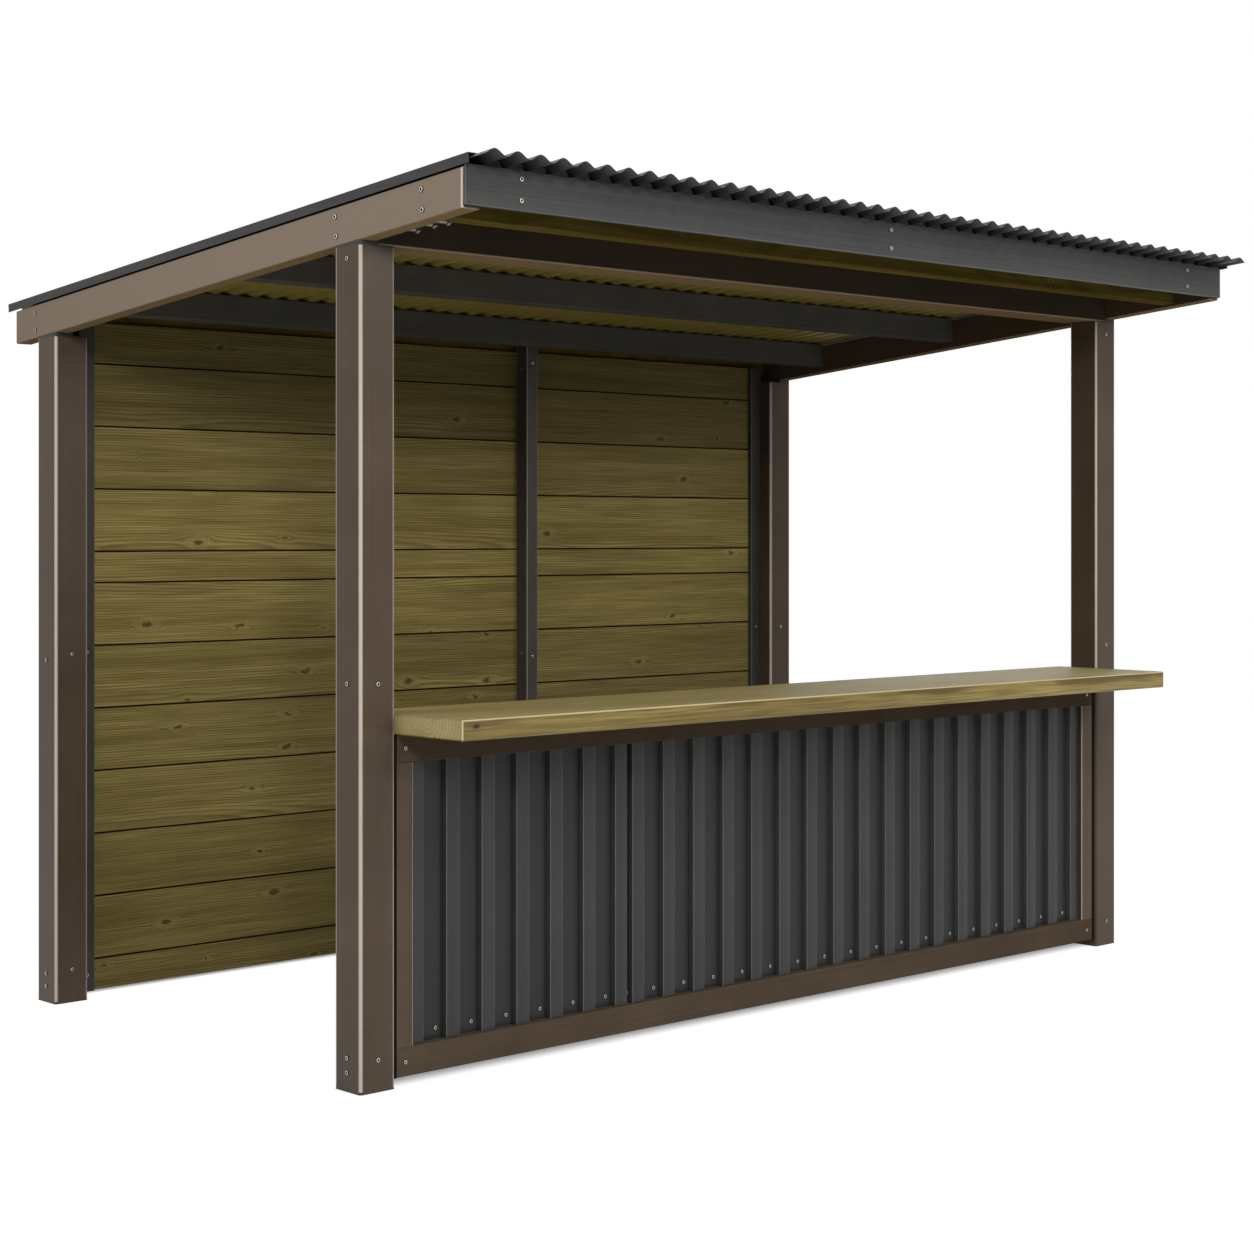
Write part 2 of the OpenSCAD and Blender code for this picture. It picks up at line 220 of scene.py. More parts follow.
# Painted light on the rafters' outer faces, which the inner faces in shade don't get, and a painted
# highlight at the front corners
rafterPaintedLight = {  # each range is where a change starts and ends
    "colour": "#847668", "outer": (rafterInside + 2 * mm, rafterInside + 8 * mm),
    "rim": (rafterFront + 2 * mm, rafterFront + 4 * mm),
    "corner": (rightSide - 9 * mm, rightSide - 4 * mm),
    "end": (rafterFront + 6 * mm, rafterFront + 8 * mm),
}
anthracitePaint = dict(
    bronzePaint, coat="anthraciteCoilCoat", dark="#2C2C2C", light="#363636", highlightColour="#6A6A6A",
    lineWidth=6 * mm, lineLength=1200 * mm, cloudSize=300 * mm, peelSize=4 * mm, rough=0.36, specular=0.15)
# The folded trims are a lighter batch
trimPaint = dict(anthracitePaint, dark="#3C3C3C", light="#464645", rough=0.42, specular=0.06)
blackPaint = dict(
    bronzePaint, coat="blackPowderCoat", dark="#33312D", light="#3E3C37", highlightColour="#8A857A",
    lineWidth=4 * mm, cloudSize=200 * mm, rough=0.4)
purlinPaint = dict(blackPaint, dark="#4A4945", light="#565550", rough=0.55, specular=0.0)
studPaint = dict(blackPaint, dark="#37312C", light="#433C36", highlightColour="#9A9085", rough=0.32, specular=0.25)
bronzeUpright = coatedSteel("bronzePowderCoat", bronzePaint, "z")
bronzeRaking = coatedSteel("bronzePowderCoatRafters", rafterPaint, "y", paintedLight=rafterPaintedLight)
anthraciteRaking = coatedSteel("anthraciteCoilCoatRaking", trimPaint, "y")
blackUpright = coatedSteel("blackPowderCoat", blackPaint, "z")
greyLevel = coatedSteel("greyPowderCoat", purlinPaint, "x")

# Near black strips stand in for the shadow in the joint between the bar front and the posts, matt and nearly
# without light
shadowBlack = dict(blackPaint, dark="#0B0B0A", light="#131211", rough=0.8, specular=0.05)
shadowStripBlack = coatedSteel("paintedShadowStrip", shadowBlack, "z")

# Cladding steel has a painted highlight along the outward folds, and painted shade in the valleys and their
# inner corners
claddingPaint = dict(anthracitePaint, dark="#303030", light="#393939")
claddingCoat = coatedSteel("anthraciteCoilCoatCladding", claddingPaint, "z")
tintBy(claddingCoat, "valley", "#232323", 0.75)
tintBy(claddingCoat, "foldHighlight", "#6E6E6D", 0.75)
tintBy(claddingCoat, "foldShade", "#101010", 0.9)


# Sawn pine, pressure treated: olive brown, with growth rings cut by the board's face.
# The rings are the distance from a pith that lies behind the face and drifts along the board,
# which gives arches on the face and arcs on the end. Lines part round each knot as water parts
# round a pole: the across distance is lessened by offset * size^2 / distance^2.

def sawnPine(name, finish):
    material, add = newMaterial(name)
    if "middle" in finish:  # a timber that runs along X keeps the frame's own axes, with Z across it
        grain = add("Mapping", {
            "Vector": add("TexCoord", out="Object"), "Location": (0.0, -finish["middle"], 0.0),
            "Rotation": (math.radians(-90), 0.0, 0.0)})
        seed, level = finish["seed"], 1.0
    else:  # along, across and into the board, kept on the piece, with a number for each board
        grain = add("Attribute", out="Vector", attribute_name="grain")
        seed = add("Attribute", out="Fac", attribute_name="boardSeed")
        # The board's tone, which on the wall also carries painted light and shade by row
        level = add("Attribute", out="Fac", attribute_name="boardToneAndLight")
    shift = add("CombineXYZ", add("Math MULTIPLY", seed, 7.31), add("Math MULTIPLY", seed, 3.17))
    shifted = add("VectorMath ADD", grain, shift)
    across, into = add("SeparateXYZ", grain).node.outputs[1:]

    # Noises, by their spots to the metre along, across and into the board, and their detail
    fine, longWay, wide = (1 / finish[size] for size in ("fibreWidth", "streakLength", "streakWidth"))
    noise = {}
    for use, spots, detail in (
            ("ragged", (24.0, 45.0, 45.0), 2.0), ("wander", (1.6, 9.0, 9.0), 3.0),
            ("drift", (0.55, 0.0, 0.0), 1.0), ("fibre", (4.0, fine, fine), 3.0),
            ("streak", (longWay, wide, wide), 4.0), ("cloud", (1.5, 5.0, 5.0), 2.0)):
        noise[use] = add("TexNoise", add("VectorMath MULTIPLY", shifted, spots), 1.0, detail)
    uneven = {use: add("Math SUBTRACT", noise[use], 0.5) for use in ("ragged", "wander", "cloud")}

    # Knots, one to a cell, of which a share is left out
    cellSize = (finish["knotEvery"], finish["knotRow"], 1.0)
    cells = add("VectorMath DIVIDE", shifted, cellSize)
    spread = {"Vector": cells, "Scale": 1.0, "Randomness": 0.6}
    knots = add("TexVoronoi", spread, voronoi_dimensions="2D").node.outputs
    away = add("VectorMath SUBTRACT", cells, knots["Position"])
    straight = add("VectorMath MULTIPLY", away, (cellSize[0] * finish["knotLength"], cellSize[1], 0.0))
    ragged = add("Math MULTIPLY", uneven["ragged"], finish["knotSize"] * 0.9)
    offset = add("VectorMath ADD", straight, add("CombineXYZ", ragged, ragged))
    far2 = add("VectorMath DOT_PRODUCT", offset, offset)
    chance = add("SeparateColor", knots["Color"])
    isKnot = add("MapRange", chance, finish["knotShare"], finish["knotShare"] + 0.1)
    size2 = add("MapRange", chance, finish["knotShare"], 1.0, 1e-8, finish["knotSize"] ** 2)
    reach2 = add("Math DIVIDE", far2, size2)
    inKnot, core, eye = (
        add("Math MULTIPLY", isKnot, add("MapRange SMOOTHSTEP", reach2, start, end, most, 0.0))
        for start, end, most in ((0.35, 0.7, 1.0), (0.02, 0.2, 1.0), (0.3, 1.1, 0.2)))
    near = add("MapRange SMOOTHSTEP", knots["Distance"], 0.1, 0.36, 1.0, 0.0)  # gone before the next cell
    softened = add("Math DIVIDE", size2, add("Math MULTIPLY_ADD", size2, 0.3, far2))
    parting = add("Math MULTIPLY", near, softened)
    sideways = add("SeparateXYZ", offset).node.outputs[1]
    bent = add("Math SUBTRACT", across, add("Math MULTIPLY", sideways, parting))

    # Rings round the pith, and round the knots inside them
    aside = add("Math ADD", bent, add("Math MULTIPLY", uneven["wander"], finish["wander"]))
    drift = add("MapRange", noise["drift"], 0.3, 0.7, finish["pithNear"], finish["pithFar"])
    deep = add("Math ADD", into, drift)
    fromPith = add("Math SQRT", add("Math MULTIPLY_ADD", aside, aside, add("Math MULTIPLY", deep, deep)))
    boardRing = add("Math DIVIDE", fromPith, finish["ringWidth"])
    knotRing = add("Math DIVIDE", add("Math SQRT", far2), finish["ringWidth"] * 0.6)
    ring = add("Math FRACT", add("Mix FLOAT", inKnot, boardRing, knotRing))
    darkening = add("MapRange SMOOTHSTEP", ring, 0.25, 0.85)
    late = add("Math MULTIPLY", darkening, add("MapRange SMOOTHSTEP", ring, 0.86, 1.0, 1.0, 0.0))

    half = finish["streakSpread"]
    streaked = add("MapRange", noise["streak"], 0.5 - half, 0.5 + half)
    tone = add("Math ADD", streaked, add("Math MULTIPLY", uneven["cloud"], 0.9))
    colour = add("Mix RGBA", tone, finish["dark"], finish["light"])
    lined = add("Math MULTIPLY", late, finish["lineStrength"])
    fibred = add("MapRange", noise["fibre"], 0.35, 0.75, 0.0, finish["fibreStrength"])
    paled = add("Math MULTIPLY", eye, add("MapRange", late, 0.0, 1.0, 1.0, 0.25))
    knotted = add("Math MULTIPLY", core, 0.75)
    for share, over in ((lined, "line"), (fibred, "line"), (paled, "eye"), (knotted, "knot")):
        colour = add("Mix RGBA", share, colour, finish[over])
    if "deadKnot" in finish:  # one small black knot at a chosen place, with a soft stain round it
        size = finish["deadKnot"]["size"]
        away = add("VectorMath SUBTRACT", grain, finish["deadKnot"]["place"])
        away = add("VectorMath LENGTH", add("VectorMath MULTIPLY", away, (0.6, 1.0, 1.0)))
        away = add("Math ADD", away, add("Math MULTIPLY", ragged, 0.5))
        stain = add("MapRange SMOOTHSTEP", away, 0.0, size * 2.5, 0.3, 0.0)
        heart = add("MapRange SMOOTHSTEP", away, size * 0.4, size, 0.7, 0.0)
        colour = add("Mix RGBA", add("Math ADD", stain, heart), colour, finish["knot"])
    colour = add("HueSaturation", {"Color": colour, "Value": level})

    height = add("Math SUBTRACT", add("Math MULTIPLY", noise["fibre"], 0.6), add("Math MULTIPLY", late, 0.5))
    bump = add("Bump", {"Height": height, "Strength": finish["relief"], "Distance": 0.8 * mm})
    gloss = add("MapRange", noise["streak"], 0.3, 0.7, finish["rough"] - 0.06, finish["rough"] + 0.06)
    shader = add("BsdfPrincipled", {
        "Base Color": colour, "Roughness": gloss, "Normal": bump, "Specular IOR Level": finish["specular"]})
    add("OutputMaterial", shader)
    return material


boardPine = {
    "dark": "#7C6C3A", "light": "#A39257", "line": "#4A3D1C", "knot": "#2C210C", "eye": "#AE9E66",
    "ringWidth": 8 * mm,  # coarser than the real spacing, which is too fine to show
    "lineStrength": 0.5, "fibreStrength": 0.6, "fibreWidth": 6 * mm, "wander": 9 * mm,
    "streakLength": 1110 * mm, "streakWidth": 38.5 * mm, "streakSpread": 0.2,
    "pithNear": 35 * mm, "pithFar": 90 * mm,
    "knotEvery": 430 * mm, "knotRow": 190 * mm, "knotShare": 0.4, "knotSize": 32 * mm, "knotLength": 0.5,
    "relief": 0.35, "rough": 0.62, "specular": 0.12,
}
counterPine = dict(
    boardPine, dark="#78683A", light="#A29056", line="#4E3D1A", knot="#2C1F0A", eye="#A6965E",
    ringWidth=14 * mm, lineStrength=0.85, fibreStrength=0.9,
    pithNear=-11 * mm, pithFar=-5 * mm, streakLength=1800 * mm, streakWidth=75 * mm, streakSpread=0.16,
    knotEvery=700 * mm, knotRow=160 * mm, knotShare=0.85, knotSize=22 * mm,
    relief=0.25, rough=0.5, specular=0.2,
    deadKnot={"place": (48 * mm, -153 * mm, 20 * mm), "size": 9 * mm})
purlinPine = dict(
    boardPine, middle=2430 * mm, seed=0.37, knotSize=12 * mm, knotRow=90 * mm,
    dark="#5A4E20", light="#786A33", rough=0.7, specular=0.0)
wallPine = tintBy(sawnPine("treatedPineBoards", boardPine), "joint", "#0E0A03", 1.0)
topPine = sawnPine("planedPineCounter", counterPine)
tintBy(topPine, "paintedLight", "#D2C48F", 1.0)  # painted light makes the top and the ends paler
tintBy(topPine, "arrisHighlight", "#E0D5A8", 0.68)  # and a painted highlight along the edges
framePine = sawnPine("treatedPinePurlins", purlinPine)


# Zinc plated steel: a bright grey metal with soft blurred highlights; painted shade darkens the hexagon
# socket

zinc = {"dark": "#7C7A76", "light": "#A3A19B", "shadeColour": "#161616", "cloudSize": 3 * mm, "rough": (0.32, 0.46)}


def zincPlate():
    material, add = newMaterial("zincPlatedSteel")
    cloud = add("TexNoise", add("TexCoord", out="Object"), 1 / zinc["cloudSize"], 2.0)
    shadeShare = add("Attribute", out="Fac", attribute_name="shadeShare")
    plated = add("Mix RGBA", cloud, zinc["dark"], zinc["light"])
    shadedZinc = add("Mix RGBA", shadeShare, plated, zinc["shadeColour"])
    gloss = add("MapRange", cloud, 0.3, 0.7, *zinc["rough"])
    add("OutputMaterial", add("BsdfPrincipled", {"Base Color": shadedZinc, "Metallic": 0.9, "Roughness": gloss}))
    return material


screwZinc = zincPlate()

# Coil coated roof steel: anthracite outside and a duller olive backing coat inside the building
roofCoat = tintBy(coatedSteel("anthraciteRoofSteel", anthracitePaint, "y"), "backing", "#83753A", 1.0)
tintBy(roofCoat, "dripLight", "#585857", 1.0)  # painted light: the underside that reaches out past the fascia is paler at the front edge
tintBy(roofCoat, "fasciaShade", "#080808", 0.95)  # and painted shade darkens it where it meets the fascia
print("materials made:", len(bpy.data.materials))


# Mesh helpers

def carried(sections):
    # A closed profile carried along a path: a quad for each cell, and one face at both ends.
    # Sections is an array of (stations, profile points, 3).
    stations, count = sections.shape[:2]
    start, here = np.meshgrid(np.arange(stations - 1) * count, np.arange(count), indexing="ij")
    beside = (here + 1) % count
    quads = np.stack([start + here, start + beside, start + count + beside, start + count + here], -1)
    ends = np.stack([np.arange(count)[::-1], np.arange(count) + (stations - 1) * count])
    return sections.reshape(-1, 3), quads.reshape(-1, 4), ends


def signedVolume(points, *faceSets):
    # Each face is a fan of triangles, and six times the volume is the sum of their triple products
    fans = [np.stack(np.broadcast_arrays(f[:, :1], f[:, 1:-1], f[:, 2:]), -1) for f in faceSets]
    corners = (points - points.mean(0))[np.concatenate([fan.reshape(-1, 3) for fan in fans])]
    return np.einsum("ij,ij->", corners[:, 0], np.cross(corners[:, 1], corners[:, 2])) / 6


def joined(solids):
    # Several closed solids as one set of points and faces, each with its faces outwards
    allPoints, allFaces, start = [], [], 0
    for points, *faceSets in solids:
        turn = -1 if signedVolume(points, *faceSets) < 0 else 1
        allPoints.append(points)
        for faces in faceSets:
            allFaces += (faces[:, ::turn] + start).tolist()
        start += len(points)
    return np.concatenate(allPoints), allFaces


def addObject(name, data):
    added = bpy.data.objects.new(name, data)
    bpy.context.scene.collection.objects.link(added)
    return added


def addPiece(name, solids, material, replaced=(), smoothUnder=40):
    points, faces = joined(solids)
    mesh = bpy.data.meshes.new(name)
    mesh.from_pydata(points.tolist(), [], faces)
    mesh.materials.append(material)
    mesh.shade_smooth()
    mesh.set_sharp_from_angle(angle=math.radians(smoothUnder))
    mesh.update()
    piece = addObject(name, mesh)
    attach(piece, "root")
    if replaced:
        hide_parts(*replaced)
    return piece


def keepOn(piece, name, values, kind="FLOAT", domain="POINT"):
    # Keeps a value for each point or face on the piece, for its material to read
    attribute = piece.data.attributes.new(name, kind, domain)
    field = "vector" if kind == "FLOAT_VECTOR" else "value"
    attribute.data.foreach_set(field, np.asarray(values, np.float32).ravel())


def bentLine(corners, radius, steps):
    # A line through the corners with each inner corner rounded: an arc from one tangent point to the other.
    # Radius is one number, and steps is the number of points on an arc.
    before, at, after = corners[:-2], corners[1:-1], corners[2:]
    toBefore, toAfter = unit(before - at), unit(after - at)
    half = np.arccos(np.clip(np.sum(toBefore * toAfter, 1, keepdims=True), -1, 1)) / 2
    reach = radius / np.tan(half)
    centre = at + unit(toBefore + toAfter) * radius / np.sin(half)
    start = at + toBefore * reach - centre
    end = at + toAfter * reach - centre
    share = np.linspace(0, 1, steps)[None, :, None]
    angle = (math.pi - 2 * half)[:, None]
    arc = np.sin((1 - share) * angle) * start[:, None] + np.sin(share * angle) * end[:, None]
    rounded = centre[:, None] + arc / np.sin(angle)
    return np.concatenate([corners[:1], rounded.reshape(-1, 2), corners[-1:]])


def thickened(line, thickness):
    # A closed outline: the line, then the same line moved sideways by the thickness and walked back
    tangent = unit(np.gradient(line, axis=0))
    normal = np.stack([-tangent[:, 1], tangent[:, 0]], 1)
    return np.concatenate([line, (line + normal * thickness)[::-1]])


# Wall boards: each is a plank with eased edges and a tongue that closes the joint above it

wallBoards = {
    "fullHeight": 212 * mm,
    "rows": (0.5, 1, 1, 1, 1, 1, 1, 0.5, 1, 1, 1),
    # Painted light and shade of the rows from the ground up, with the cut board under the roof: darker at
    # the foot and under the roof, lighter in the middle
    "lightAndTone": (0.66, 0.78, 0.84, 0.84, 0.85, 0.93, 1.08, 1.22, 1.15, 0.9, 0.6, 0.58),
    "toneSpread": 0.04,
    "jointGap": 4 * mm,
    "topGap": 0.3 * mm,
    "thinnest": 4 * mm,  # a lower strip under the roof isn't a board of its own
    "easedEdge": 1.6 * mm,
    "edgeWaver": 0.5 * mm,  # how far the sawn edges stray
    "tongueDepth": 13 * mm,
    "pithAside": (90, 210),  # mm from the middle of a board
    "step": 20 * mm,
}


def plank(low, high, bottom, top, draw, isTop):
    # The profile in depth and height, carried along X, with the front edges strayed by a sum of slow sines
    ease, tongue = wallBoards["easedEdge"], wallBoards["tongueDepth"]
    body = top - (wallBoards["topGap"] if isTop else wallBoards["jointGap"])
    thick = high[1] - low[1]
    depth = np.array([thick, thick - ease, ease, 0, 0, ease, tongue, tongue, thick - ease, thick])
    height = np.array([
        bottom + ease, bottom, bottom, bottom + ease, body - ease, body, body, top, top, top - ease])
    stray = np.array([0, 0, 1, 1, -1, -1, -1, 0, 0, 0.0])
    x = np.linspace(low[0], high[0], int((high[0] - low[0]) / wallBoards["step"]) + 2)
    waves = draw.uniform(3, 16, 6)[:, None] * x + draw.uniform(0, 6.3, 6)[:, None]
    waver = np.abs(np.sin(waves).mean(0)) * wallBoards["edgeWaver"]
    if isTop:
        stray[4:7] = 0
    return carried(pointsOf(x[:, None], low[1] + depth, height + stray * waver[:, None]))


def boardedBay(node, name, draw):
    low, high = boxOf(node)
    joints = low[2] + np.cumsum((0,) + wallBoards["rows"]) * wallBoards["fullHeight"]
    edges = np.append(joints[joints < high[2] - wallBoards["thinnest"]], high[2])
    spread = wallBoards["toneSpread"]
    solids, grains, seeds, lightAndTone = [], [], [], []
    for bottom, top, tone in zip(edges[:-1], edges[1:], wallBoards["lightAndTone"]):
        solid = plank(low, high, bottom, top, draw, top == edges[-1])
        solids.append(solid)
        points = solid[0]
        middle = (bottom + top) / 2 + draw.choice([-1, 1]) * draw.uniform(*wallBoards["pithAside"]) * mm
        grains.append(points[:, [0, 2, 1]] - [low[0], middle, low[1]])
        seeds.append(np.full(len(points), draw.uniform(0, 9)))
        # Each row's painted light and shade, with a random spread of tone
        lightAndTone.append(np.full(len(points), tone * draw.uniform(1 - spread, 1 + spread)))
    piece = addPiece(name, solids, wallPine, [node], smoothUnder=30)
    grains = np.concatenate(grains)
    keepOn(piece, "grain", grains, "FLOAT_VECTOR")
    keepOn(piece, "boardSeed", np.concatenate(seeds))
    keepOn(piece, "boardToneAndLight", np.concatenate(lightAndTone))
    fromFace = np.minimum(grains[:, 2], high[1] - low[1] - grains[:, 2])
    keepOn(piece, "joint", fromFace > wallBoards["easedEdge"] / 2)


boardDraw = np.random.default_rng(11)
boardedBay("left_wall_boards", "leftWallPlanks", boardDraw)
boardedBay("right_wall_boards", "rightWallPlanks", boardDraw)
print("wall boards made")


# Counter: a rounded rectangle carried along X, drawn in by a quarter circle at both ends

counter = {
    "edgeRadius": 5 * mm, "cornerSteps": 6, "seed": 2.6, "pithAhead": 82 * mm,
    "edgeHighlight": (0.3, 1.0, 0.1, 0.0),  # painted highlight along the back top, front top, front bottom and back bottom edges
    "endHighlight": (0.0, 0.3, 1.0, 0.1, 0.0),  # painted highlight round the ends: at the back, top, front, bottom and back again
    "paintedLightTop": 0.22, "paintedLightEnds": 0.3,
}


def counterSlab():
    low, high = boxOf("counter_top")
    radius, steps = counter["edgeRadius"], counter["cornerSteps"]
    turn = np.linspace(0, math.pi / 2, steps)
    around = np.concatenate([turn + quarter * math.pi / 2 for quarter in range(4)])
    side = np.repeat([[1, 1], [-1, 1], [-1, -1], [1, -1]], steps, axis=0)
    middle, half = (low + high) / 2, (high - low) / 2
    drawn = radius * (1 - np.sin(turn))  # how far the end profiles are drawn in
    ahead = radius * (1 - np.cos(turn))
    x = np.concatenate([low[0] + ahead, high[0] - ahead[::-1]])
    inset = np.concatenate([drawn, drawn[::-1]])[:, None]
    y = middle[1] + side[:, 0] * (half[1] - radius) + (radius - inset) * np.cos(around)
    z = middle[2] + side[:, 1] * (half[2] - radius) + (radius - inset) * np.sin(around)
    sections = pointsOf(x[:, None], y, z)
    piece = addPiece(
        "counterSlab", [carried(sections)], topPine, ["counter_top"], smoothUnder=50)
    points = sections.reshape(-1, 3)
    pith = middle[1] - counter["pithAhead"]  # its depth is counted from the top
    grain = (points - [low[0], pith, high[2]]) * [1, 1, -1]
    keepOn(piece, "grain", grain, "FLOAT_VECTOR")
    keepOn(piece, "boardSeed", np.full(len(points), counter["seed"]))
    keepOn(piece, "boardToneAndLight", np.ones(len(points)))
    # The painted highlight is nothing on the flats and most in the middle of a rounding
    rounded = np.outer(counter["edgeHighlight"], np.sin(2 * turn)).ravel()
    endShares = counter["endHighlight"]
    roundEnd = np.concatenate([np.linspace(a, b, steps) for a, b in zip(endShares[:-1], endShares[1:])])
    ends = np.tile(np.sin(2 * turn), 2)[:, None]
    keepOn(piece, "arrisHighlight", np.maximum(rounded, ends * roundEnd))
    hair = 0.01 * mm
    # Painted light: the top and the ends are paler
    isEnd = np.abs(points[:, 0] - middle[0]) > half[0] - hair
    isTop = points[:, 2] > high[2] - hair
    keepOn(piece, "paintedLight", np.maximum(isTop * counter["paintedLightTop"], isEnd * counter["paintedLightEnds"]))


counterSlab()
print("counter made")


# Roof sheets: a cosine wave across, carried down the slope, lifted at the left where it laps its neighbour

roofSheets = {
    "count": 4, "pitch": 79.4 * mm, "firstCrest": 27 * mm, "depth": 18 * mm,
    "metal": 0.7 * mm, "bed": 0.15 * mm,
    "lap": 1.1 * mm,  # lift over the neighbour's last wave, which runs out along the sheet
    "stepsPerWave": 28, "frontDrip": 100 * mm, "backDrip": 40 * mm,
    "liningStart": 150 * mm, "liningEnd": 30 * mm,  # from the fascia, and from the back edge
}
sheetBed = roof["rafterDepth"] + roof["sheetRise"] + roofSheets["bed"]  # above the rafter undersides
sheetsLow, sheetsHigh = boxOf("roof_sheet_1")[0], boxOf("roof_sheet_4")[1]


def waveSheet(number):
    left, right, pitch = sheetsLow[0], sheetsHigh[0], roofSheets["pitch"]
    cover = (right - left) / roofSheets["count"]
    start = left + number * cover
    end = min(start + cover + pitch, right)  # one wave lies under the next sheet
    x = np.linspace(start, end, round((end - start) / pitch * roofSheets["stepsPerWave"]) + 1)
    phase = 2 * math.pi * (x - left - roofSheets["firstCrest"]) / pitch
    lift = roofSheets["lap"] * np.clip(1 - (x - start) / cover, 0, 1) * (number > 0)
    line = np.stack([x, lift + roofSheets["depth"] / 2 * (1 + np.cos(phase))], 1)
    outline = thickened(line, roofSheets["metal"])
    front, behind = (corner[1] for corner in boxOf("front_fascia"))
    sheetFront = downSlope(front - roofSheets["frontDrip"], sheetBed)
    sheetBack = downSlope(boxOf("left_rafter_cap")[1][1] + roofSheets["backDrip"], sheetBed)
    lining = downSlope(behind, sheetBed) + roofSheets["liningStart"], sheetBack - roofSheets["liningEnd"]
    along = np.array([sheetFront, sheetFront + roofSheets["frontDrip"], *lining, sheetBack])
    sections = onSlope(outline[:, 0], along[:, None], sheetBed + outline[:, 1])
    piece = addPiece(f"roofSheet{number + 1}", [carried(sections)], roofCoat,
                     [f"roof_sheet_{number + 1}"])
    cells = np.zeros((len(along) - 1, len(outline)))
    # The underside between the rafters, behind the front purlin
    cells[2, :len(line) - 1] = np.abs(line[:-1, 0]) < rafterInside
    keepOn(piece, "backing", np.append(cells.ravel(), [0, 0]), domain="FACE")
    isUnder = np.arange(len(outline)) < len(line)
    # Painted light under the front edge and painted shade at the fascia, each fading to the next station
    for attributeName, station in (("dripLight", 0), ("fasciaShade", 1)):
        values = np.zeros((len(along), len(outline)))
        values[station] = isUnder
        keepOn(piece, attributeName, values)


for sheetNumber in range(roofSheets["count"]):
    waveSheet(sheetNumber)
print("roof sheets made")


# Bar front cladding: box ribs with rounded folds, carried up from the bottom rail

cladding = {
    "leftRibs": 7, "rightRibs": 18, "ribTop": 48 * mm, "ribRun": 7 * mm, "ribHeight": 20 * mm,
    "lapWidth": 24 * mm, "lapFlange": 12 * mm, "lapFoot": 0.9,  # share of a rib's side that laps over
    "metal": 0.7 * mm, "foldRadius": 3 * mm, "foldSteps": 5,
}
ribTop, ribRun, ribHeight = (cladding[size] for size in ("ribTop", "ribRun", "ribHeight"))


def ribCorners(count, start, pitch):
    # Corners of a rib top, its side, the valley and the next side, for each rib
    x = start + np.arange(count)[:, None] * pitch + np.array([0, ribTop, ribTop + ribRun, pitch - ribRun])
    depth = np.broadcast_to([0, 0, ribHeight, ribHeight], x.shape)
    return np.stack([x, depth], -1).reshape(-1, 2)[:-2]  # the last rib ends at its top


def ribbedSheet(name, node, line):
    low, high = boxOf(node)
    steps = cladding["foldSteps"]
    bent = bentLine(line, cladding["foldRadius"], steps)
    outline = thickened(bent, cladding["metal"])
    sections = pointsOf(outline[:, 0], low[1] + outline[:, 1], np.array([[low[2]], [high[2]]]))
    piece = addPiece(name, [carried(sections)], claddingCoat, [node])
    # A fold counts most in the middle of its rounding: painted highlight outward at the rib tops, painted
    # shade inward at the valleys
    share = np.sin(np.linspace(0, math.pi, steps))
    outward = np.where(line[1:-1, 1] < ribHeight / 2, 1, -1)[:, None]
    fold = np.concatenate([[0], (outward * share).ravel(), [0]])
    # Painted shade deepens towards the valleys
    depth = np.clip(bent[:, 1] / ribHeight, 0, 1)
    for attributeName, values in (
            ("valley", depth), ("foldHighlight", fold.clip(0)), ("foldShade", (-fold).clip(0))):
        bothFaces = np.concatenate([values, values[::-1]])
        keepOn(piece, attributeName, np.tile(bothFaces, 2))


def barCladding():
    left, right = boxOf("left_cladding")[0][0], boxOf("right_cladding")[1][0]
    leftRibs, rightRibs, lap = cladding["leftRibs"], cladding["rightRibs"], cladding["lapWidth"]
    pitch = (right - left - 2 * ribTop - lap) / (leftRibs + rightRibs - 2)
    lapStart = left + (leftRibs - 1) * pitch + ribTop
    secondStart = lapStart + lap
    flange = np.array([[lapStart + ribRun, ribHeight], [secondStart + cladding["lapFlange"], ribHeight]])
    leftLine = np.concatenate([ribCorners(leftRibs, left, pitch), flange])
    ribbedSheet("leftCladdingSheet", "left_cladding", leftLine)
    foot = np.array([[secondStart, 0]]) + np.array([-ribRun, ribHeight]) * cladding["lapFoot"]
    rightLine = np.concatenate([foot, ribCorners(rightRibs, secondStart, pitch)])
    ribbedSheet("rightCladdingSheet", "right_cladding", rightLine)
    ribStarts = np.concatenate([
        left + np.arange(leftRibs - 1) * pitch, secondStart + np.arange(rightRibs - 1) * pitch])
    return ribStarts + ribTop + ribRun, pitch - ribTop - 2 * ribRun, lapStart


valleyStart, valleyWidth, lapStart = barCladding()
print("cladding made")


# Fascia: a folded tray, open at the back, with rounded folds along its edges

fascia = {"metal": 2 * mm, "foldRadius": 4 * mm, "foldSteps": 6, "lip": 12 * mm, "edgeHighlight": 0.6}


def foldedFascia():
    low, high = boxOf("front_fascia")
    lip = low[1] + min(fascia["lip"], high[1] - low[1])
    corners = np.array([[lip, high[2]], [low[1], high[2]], [low[1], low[2]], [lip, low[2]]])
    outline = thickened(bentLine(corners, fascia["foldRadius"], fascia["foldSteps"]), fascia["metal"])
    sections = pointsOf(np.array([[low[0]], [high[0]]]), outline[:, 0], outline[:, 1])
    # Painted highlight along the folded edges
    finish = coatedSteel("anthraciteCoilCoatFascia", trimPaint, "x", {
        "low": low, "high": high, "reach": fascia["foldRadius"], "strength": fascia["edgeHighlight"]})
    addPiece("foldedFascia", [carried(sections)], finish, ["front_fascia"])


foldedFascia()
print("fascia made")


# Fixings: button heads with a hexagon socket, turned from a profile of radius and height

buttonHead = {"sides": 18, "height": 0.55, "socket": 0.42, "socketDepth": 0.75}  # shares of the radius


